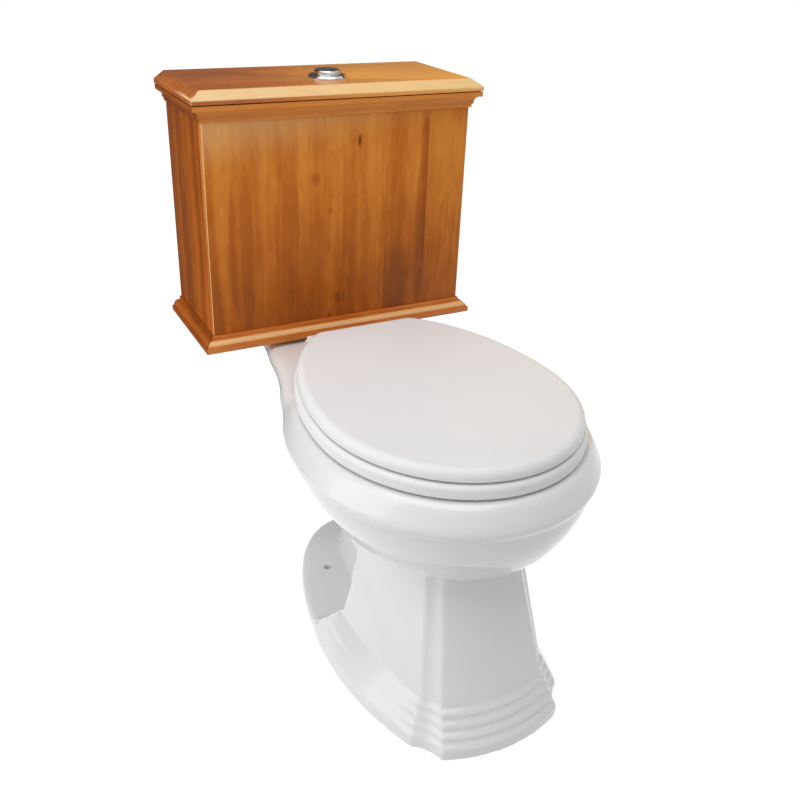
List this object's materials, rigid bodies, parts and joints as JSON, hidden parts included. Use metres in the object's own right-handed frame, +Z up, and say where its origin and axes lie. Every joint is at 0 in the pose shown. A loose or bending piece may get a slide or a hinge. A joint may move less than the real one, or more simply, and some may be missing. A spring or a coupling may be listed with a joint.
{
  "type": "close-coupled toilet",
  "caption": "White glazed floor toilet with a wooden tank close-coupled on its deck, hinged seat and lid, and a chrome push button in the tank's lid.",
  "frame": {"origin": "on the floor, midway between the floor bolt holes, on the axis of the outlet", "axes": "+Z up, +X towards the right of someone who faces the toilet, +Y towards the wall behind it, so the seat points along -Y"},
  "size_m": [0.4734, 0.763, 0.818],
  "materials": {
    "glazed_china": "gloss",
    "seat_plastic": "gloss",
    "varnished_wood": "gloss varnish",
    "chrome": "polished",
    "steel": "satin",
    "brass": "satin",
    "valve_plastic": "matte",
    "rubber": "matte"
  },
  "bodies": {
    "base": {"bowl_rim": "glazed_china", "bowl_shell_front_left": "glazed_china", "bowl_shell_front_right": "glazed_china", "bowl_shell_rear_left": "glazed_china", "bowl_shell_rear_right": "glazed_china", "bowl_deck_left": "glazed_china", "bowl_deck_right": "glazed_china", "bowl_neck": "glazed_china", "bowl_column": "glazed_china", "bowl_sump": "glazed_china", "hinge_posts": "seat_plastic", "hinge_pins": "steel", "hinge_studs": "steel", "hinge_washers": "rubber", "hinge_nuts": "valve_plastic", "tank_front_panel": "varnished_wood", "tank_left_panel": "varnished_wood", "tank_right_panel": "varnished_wood", "tank_back_panel": "varnished_wood", "tank_floor_panel": "varnished_wood", "tank_liner": "valve_plastic", "base_moulding_front": "varnished_wood", "base_moulding_left": "varnished_wood", "base_moulding_right": "varnished_wood", "crown_moulding_front": "varnished_wood", "crown_moulding_left": "varnished_wood", "crown_moulding_right": "varnished_wood", "flush_valve_base": "valve_plastic", "flush_valve_nut": "valve_plastic", "tank_gasket": "rubber", "flush_valve_cage": "valve_plastic", "lever_pin": "steel", "fill_valve_body": "valve_plastic", "fill_valve_washer": "rubber", "fill_valve_nut": "valve_plastic", "fill_valve_cap": "valve_plastic", "tank_bolts": "brass", "tank_bolt_seals": "rubber", "tank_bolt_washers": "brass", "tank_bolt_nuts": "brass", "tank_pads": "rubber"},
    "seat_ring": {"seat_ring": "seat_plastic", "ring_bumpers": "rubber"},
    "seat_lid": {"seat_lid": "seat_plastic", "lid_bumpers": "rubber"},
    "tank_lid": {"tank_lid_board": "varnished_wood", "lid_cleats": "varnished_wood", "button_flange": "chrome", "button_nut": "valve_plastic", "button_spring": "steel"},
    "flush_button": {"flush_button": "chrome", "push_rod": "steel"},
    "lift_lever": {"lift_lever": "valve_plastic"},
    "flush_piston": {"flush_piston": "valve_plastic", "piston_seal": "rubber"},
    "float": {"float_cup": "valve_plastic", "float_rod": "steel"}
  },
  "joints": [
    {"name": "seat_ring_hinge", "type": "hinge", "parent": "base", "child": "seat_ring", "pos_m": [0, 0.046, 0.427], "axis": [-1, 0, 0], "range_deg": [0, 92]},
    {"name": "seat_lid_hinge", "type": "hinge", "parent": "seat_ring", "child": "seat_lid", "pos_m": [0, 0.046, 0.427], "axis": [1, 0, 0], "range_deg": [-92, 0]},
    {"name": "tank_lid_lift", "type": "slide", "parent": "base", "child": "tank_lid", "axis": [0, 0, 1], "range_m": [0, 0.15]},
    {"name": "button_press", "type": "slide", "parent": "tank_lid", "child": "flush_button", "axis": [0, 0, -1], "range_m": [0, 0.006], "stiffness_N_per_m": 300, "springref_m": -0.006, "deforming": ["button_spring"]},
    {"name": "lever_rock", "type": "hinge", "parent": "base", "child": "lift_lever", "pos_m": [0.01, 0.176, 0.654], "axis": [0, -1, 0], "range_deg": [0, 43.1]},
    {"name": "piston_lift", "type": "slide", "parent": "base", "child": "flush_piston", "axis": [0, 0, 1], "range_m": [0, 0.0084]},
    {"name": "float_rise", "type": "slide", "parent": "base", "child": "float", "axis": [0, 0, 1], "range_m": [0, 0.045]}
  ],
  "couplings": [
    {"joint": "lever_rock", "follows": "button_press", "rad_per_m": 125.08},
    {"joint": "piston_lift", "follows": "button_press", "ratio": 1.4}
  ]
}
